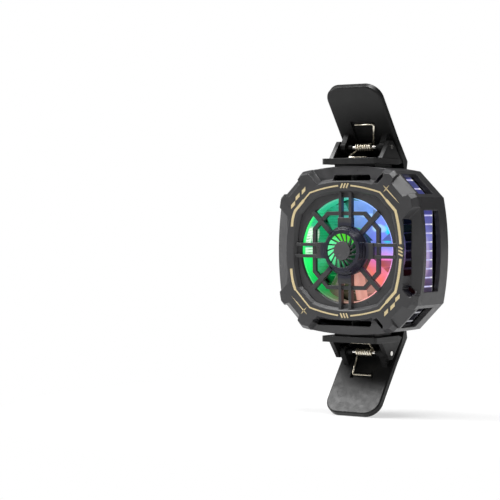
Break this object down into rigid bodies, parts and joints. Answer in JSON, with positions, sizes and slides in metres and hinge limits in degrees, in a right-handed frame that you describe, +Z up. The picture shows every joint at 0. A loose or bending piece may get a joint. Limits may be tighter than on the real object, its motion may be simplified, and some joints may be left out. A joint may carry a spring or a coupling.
{
  "type": "phone cooling fan",
  "caption": "Clip-on phone cooler with a lit fan behind a round grille, a thermoelectric cold plate at the back and a sprung clamp lever above and below.",
  "frame": {"origin": "centre of the cold plate's outer face, which rests on the phone", "axes": "+Y out of the cold plate towards the phone, +Z up to the upper clip, +X to the right of someone who looks at the grille"},
  "size_m": [0.0684, 0.0316, 0.1348],
  "materials": {
    "charcoal_plastic": "fine matte moulded plastic",
    "gloss_trim": "satin to gloss moulded plastic",
    "lever_plastic": "smooth matte moulded plastic",
    "clear_diffuser": "milky see-through plastic",
    "fan_plastic": "milky see-through plastic",
    "board": "circuit board with dark chips",
    "emitter": "small light emitters",
    "fin_metal": "bright extruded aluminium",
    "plate_metal": "brushed aluminium",
    "ceramic": "white ceramic module",
    "foam": "closed-cell foam",
    "pad_rubber": "soft matte rubber",
    "coil_metal": "laminated core with copper windings",
    "magnet": "dark sintered magnet",
    "bearing": "sintered bronze sleeve",
    "spring_steel": "bright drawn spring wire",
    "pin_steel": "bright pin",
    "screw_steel": "dark plated screw",
    "socket_steel": "bright folded steel shell"
  },
  "bodies": {
    "root": {"front_cover": "charcoal_plastic", "outer_shell": "charcoal_plastic", "rear_cover": "charcoal_plastic", "cover_screws": "screw_steel", "fan_grille": "charcoal_plastic", "hub_cap": "gloss_trim", "light_board": "board", "light_emitters": "emitter", "light_ring": "clear_diffuser", "cold_plate": "plate_metal", "cooling_module": "ceramic", "module_gasket": "foam", "heatsink": "fin_metal", "fan_frame": "lever_plastic", "fan_bearing": "bearing", "motor_stator": "coil_metal", "power_socket": "socket_steel", "control_board": "board", "upper_clip_bracket": "lever_plastic", "upper_bracket_screws": "screw_steel", "upper_hinge_pin": "pin_steel", "upper_clip_spring": "spring_steel", "lower_clip_bracket": "lever_plastic", "lower_bracket_screws": "screw_steel", "lower_hinge_pin": "pin_steel", "lower_clip_spring": "spring_steel"},
    "fan": {"fan_rotor": "fan_plastic", "fan_shaft": "pin_steel", "rotor_magnet": "magnet"},
    "upper_lever": {"upper_clip_lever": "lever_plastic", "upper_jaw_pad": "pad_rubber"},
    "lower_lever": {"lower_clip_lever": "lever_plastic", "lower_jaw_pad": "pad_rubber"}
  },
  "joints": [
    {"name": "fan_spin", "type": "hinge", "parent": "root", "child": "fan", "pos_m": [0, -0.019, 0], "axis": [0, -1, 0], "continuous": true},
    {"name": "upper_clip_hinge", "type": "hinge", "parent": "root", "child": "upper_lever", "pos_m": [0, -0.011, 0.042], "axis": [1, 0, 0], "range_deg": [0, 35], "stiffness_Nm_per_rad": 0.2, "springref_deg": -22.92, "deforming": ["upper_clip_spring"]},
    {"name": "lower_clip_hinge", "type": "hinge", "parent": "root", "child": "lower_lever", "pos_m": [0, -0.011, -0.042], "axis": [-1, 0, 0], "range_deg": [0, 35], "stiffness_Nm_per_rad": 0.2, "springref_deg": -22.92, "deforming": ["lower_clip_spring"]}
  ]
}
